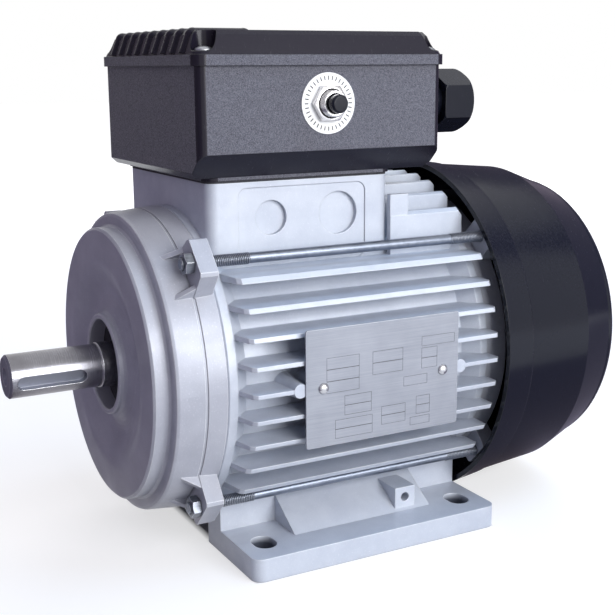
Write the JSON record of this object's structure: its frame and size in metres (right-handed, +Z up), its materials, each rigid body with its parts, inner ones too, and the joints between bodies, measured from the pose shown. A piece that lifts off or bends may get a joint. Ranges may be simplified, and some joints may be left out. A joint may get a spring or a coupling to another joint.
{
  "type": "electric motor",
  "caption": "Foot-mounted single-phase electric motor with a finned aluminium frame, keyed shaft, black fan cowl and a capacitor box with a reset button on top.",
  "frame": {"origin": "centre of the four foot slots, on the plane that the feet stand on", "axes": "X across the motor with the nameplate on +X, Y along the shaft with the drive end towards -Y, Z up"},
  "size_m": [0.165, 0.2785, 0.2229],
  "materials": {
    "cast_aluminium": "satin die-cast, bare",
    "cage_aluminium": "as cast",
    "zinc_plated_steel": "bright zinc plate",
    "bright_steel": "ground",
    "core_steel": "stacked sheet",
    "copper_wire": "varnished",
    "black_gloss": "glossy moulding",
    "black_matte": "fine spark texture",
    "black_rubber": "matte",
    "white_can": "smooth",
    "white_label": "printed film",
    "brass": "turned",
    "plate_aluminium": "brushed"
  },
  "bodies": {
    "motor_frame": {"frame_housing": "cast_aluminium", "drive_end_shield": "cast_aluminium", "fan_end_shield": "cast_aluminium", "tie_rods": "zinc_plated_steel", "tie_rod_nuts": "zinc_plated_steel", "stator_core": "core_steel", "winding_drive_end": "copper_wire", "winding_fan_end": "copper_wire", "drive_bearing_outer": "bright_steel", "fan_bearing_outer": "bright_steel", "shaft_seal": "black_rubber", "wave_spring": "bright_steel", "fan_cowl": "black_gloss", "box_gasket": "black_rubber", "capacitor_box": "black_matte", "box_screws": "zinc_plated_steel", "lid_gasket": "black_rubber", "box_lid": "black_matte", "lid_screws": "zinc_plated_steel", "capacitor": "white_can", "capacitor_clip": "zinc_plated_steel", "terminal_board": "black_gloss", "terminal_studs": "brass", "breaker_body": "bright_steel", "breaker_nut": "bright_steel", "breaker_label": "white_label", "gland_body": "black_gloss", "gland_locknut": "black_gloss", "gland_seal": "black_rubber", "gland_nut": "black_gloss", "nameplate": "plate_aluminium", "nameplate_rivets": "zinc_plated_steel"},
    "rotor": {"shaft": "bright_steel", "rotor_core": "core_steel", "rotor_cage": "cage_aluminium", "drive_bearing_inner": "bright_steel", "fan_bearing_inner": "bright_steel", "cooling_fan": "black_matte", "fan_circlip": "bright_steel"},
    "drive_ball_set": {"drive_bearing_balls": "bright_steel"},
    "fan_ball_set": {"fan_bearing_balls": "bright_steel"},
    "reset_button": {"reset_button": "black_gloss"}
  },
  "joints": [
    {"name": "rotor_spin", "type": "hinge", "parent": "motor_frame", "child": "rotor", "pos_m": [0, 0, 0.08], "axis": [0, 1, 0], "continuous": true},
    {"name": "drive_balls_spin", "type": "hinge", "parent": "motor_frame", "child": "drive_ball_set", "pos_m": [0, -0.075, 0.08], "axis": [0, 1, 0], "continuous": true},
    {"name": "fan_balls_spin", "type": "hinge", "parent": "motor_frame", "child": "fan_ball_set", "pos_m": [0, 0.0715, 0.08], "axis": [0, 1, 0], "continuous": true},
    {"name": "reset_press", "type": "slide", "parent": "motor_frame", "child": "reset_button", "axis": [-1, 0, 0], "range_m": [0, 0.003], "stiffness_N_per_m": 400}
  ],
  "couplings": [
    {"joint": "drive_balls_spin", "follows": "rotor_spin", "ratio": 0.3815},
    {"joint": "fan_balls_spin", "follows": "rotor_spin", "ratio": 0.3816}
  ]
}
